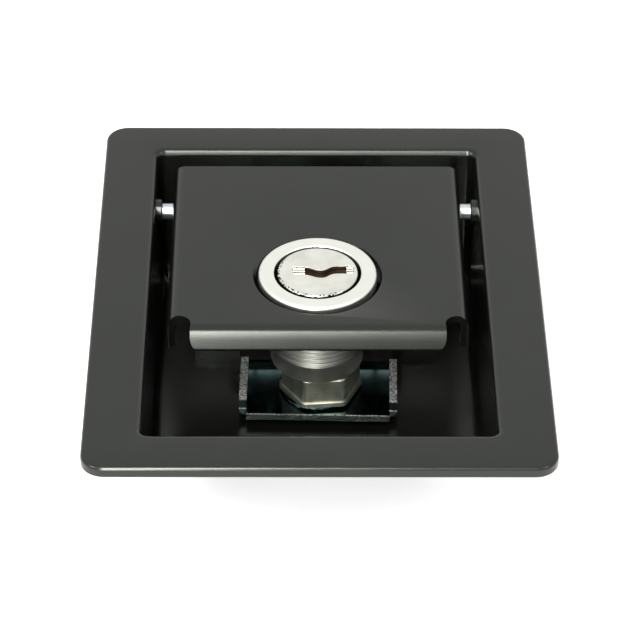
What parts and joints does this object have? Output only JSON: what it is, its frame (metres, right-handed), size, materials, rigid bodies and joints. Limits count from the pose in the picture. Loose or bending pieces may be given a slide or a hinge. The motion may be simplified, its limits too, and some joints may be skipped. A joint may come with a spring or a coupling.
{
  "type": "paddle latch",
  "caption": "Flush paddle latch: black dished steel housing with a hinged pull paddle, keyed cam lock in the paddle and a slam bolt under the floor.",
  "frame": {"origin": "middle of the flange's underside, the face that lies on the door panel", "axes": "+Z out of the panel, towards the user; X along the hinge pin; +Y from the finger end to the hinge and the slam bolt"},
  "size_m": [0.086, 0.117, 0.0446],
  "materials": {
    "black_coat": "satin black powder coat on steel, fine texture",
    "zinc_plate": "bright zinc plated steel",
    "spring_steel": "bright spring steel wire",
    "bolt_steel": "zinc plated steel bolt, rubbed bright at the nose",
    "cast_zinc": "die-cast zinc, dull",
    "lock_nickel": "nickel plated zinc casting",
    "plug_nickel": "nickel plated, polished face",
    "nut_nickel": "nickel plated nut with a warm tint",
    "bronze": "brown bronze",
    "brass": "plain brass",
    "blue_zinc": "dark blue-green zinc passivate, glossy, with bright sheared edges"
  },
  "bodies": {
    "dish_body": {"dish": "black_coat", "mounting_studs": "zinc_plate", "hinge_pin": "zinc_plate", "pin_clip": "spring_steel", "keeper_staple": "black_coat", "staple_rivets": "zinc_plate", "bolt_case": "zinc_plate", "case_rivets": "zinc_plate", "return_springs": "spring_steel", "bolt_spring": "spring_steel"},
    "paddle_body": {"paddle": "black_coat", "actuator_lever": "cast_zinc", "lever_studs": "zinc_plate", "lever_nuts": "zinc_plate", "lock_body": "lock_nickel", "lock_washer": "zinc_plate", "lock_nut": "lock_nickel"},
    "plug_body": {"lock_plug": "plug_nickel", "wafers": "brass", "cam_nut": "nut_nickel", "cam_washer": "blue_zinc", "cam_plate": "blue_zinc", "cam_clip": "spring_steel"},
    "shutter_body": {"key_shutter": "bronze"},
    "bolt_body": {"slam_bolt": "bolt_steel"}
  },
  "joints": [
    {"name": "paddle_hinge", "type": "hinge", "parent": "dish_body", "child": "paddle_body", "pos_m": [0, 0.03125, -0.00315], "axis": [-1, 0, 0], "range_deg": [0, 25], "stiffness_Nm_per_rad": 0.15, "springref_deg": -34.38, "deforming": ["return_springs"]},
    {"name": "bolt_slide", "type": "slide", "parent": "dish_body", "child": "bolt_body", "axis": [0, -1, 0], "range_m": [0, 0.01475], "stiffness_N_per_m": 150, "springref_m": -0.012, "deforming": ["bolt_spring"]},
    {"name": "plug_turn", "type": "hinge", "parent": "paddle_body", "child": "plug_body", "pos_m": [0, 0.00405, 0], "axis": [0, 0, -1], "range_deg": [0, 90]},
    {"name": "shutter_flap", "type": "hinge", "parent": "plug_body", "child": "shutter_body", "pos_m": [0.0015, 0.00615, 0.0012], "axis": [1, 0, 0], "range_deg": [0, 80], "stiffness_Nm_per_rad": 0.0002, "springref_deg": -28.65}
  ],
  "couplings": [
    {"joint": "bolt_slide", "follows": "paddle_hinge", "m_per_rad": 0.03373}
  ]
}
